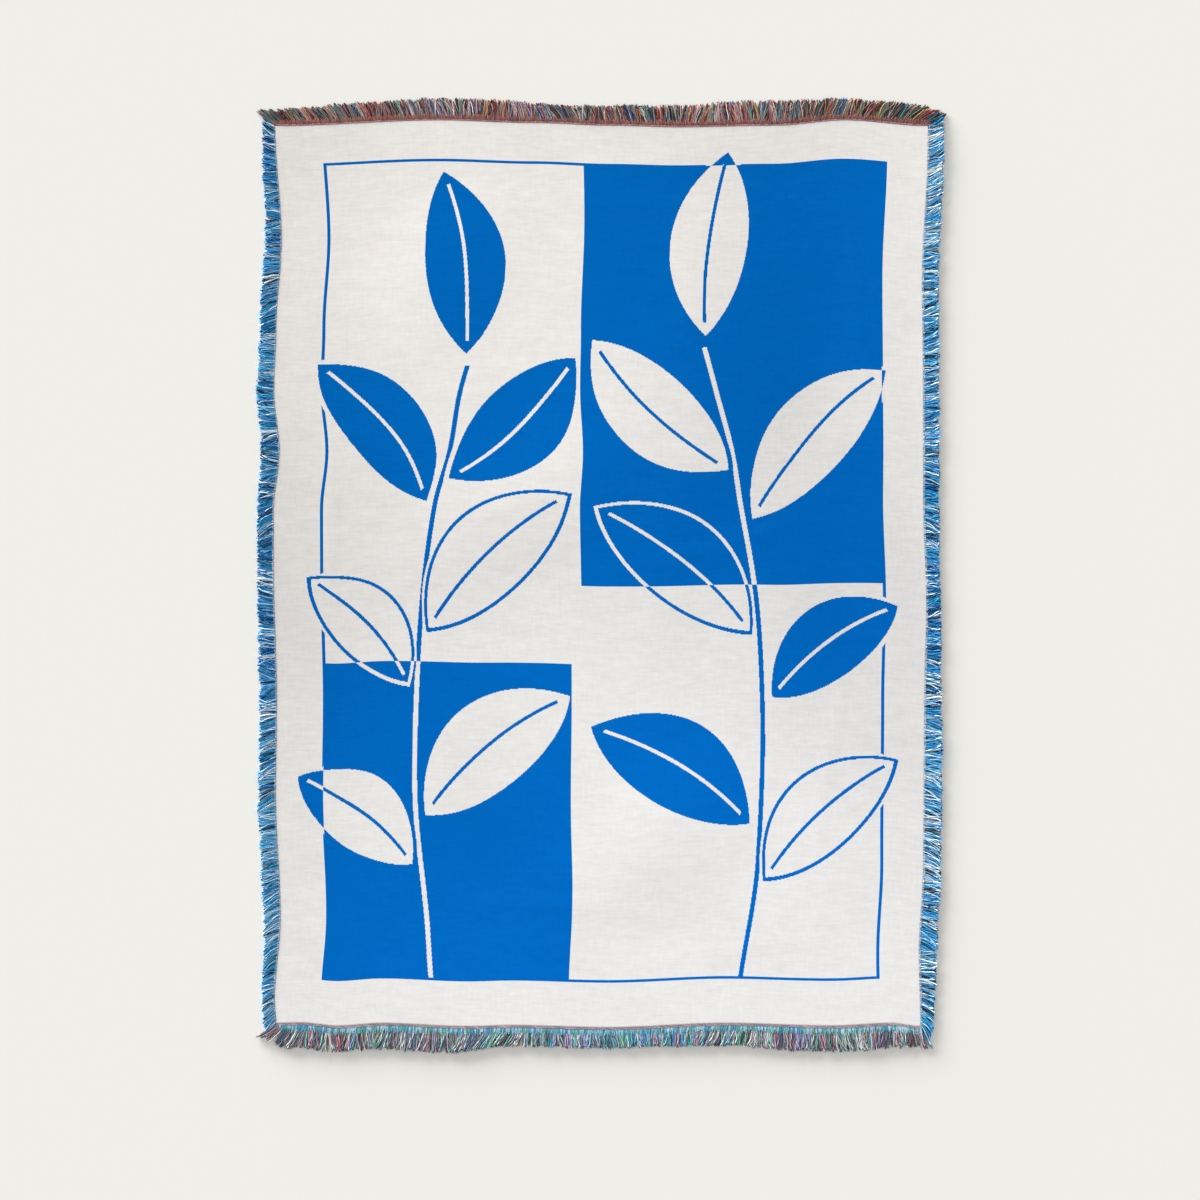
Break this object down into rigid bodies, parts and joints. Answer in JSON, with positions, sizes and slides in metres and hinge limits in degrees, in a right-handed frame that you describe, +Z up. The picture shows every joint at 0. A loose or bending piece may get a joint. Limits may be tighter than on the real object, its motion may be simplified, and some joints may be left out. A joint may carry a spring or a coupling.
{
  "type": "fringed throw blanket",
  "caption": "Rectangular woven throw blanket laid flat: one two-colour jacquard panel with a thin line border and cut yarn fringe on all four sides.",
  "frame": {"origin": "middle of the underside of the whole blanket, fringe included, on the surface that it lies on", "axes": "+X to the right across the blanket, +Y up its length from the blue-headed fringe to the red-headed one, +Z up out of its face"},
  "size_m": [1.2828, 1.7766, 0.0046],
  "materials": {
    "cloth": "matt cotton double weave, off-white with a blue woven design",
    "fringe_ends": "matt cotton warp yarns in many muted colours",
    "fringe_sides": "matt cotton weft yarns in blues and off-white"
  },
  "bodies": {
    "root": {"cloth": "cloth", "fringe_top": "fringe_ends", "fringe_bottom": "fringe_ends", "fringe_left": "fringe_sides", "fringe_right": "fringe_sides"}
  },
  "joints": []
}
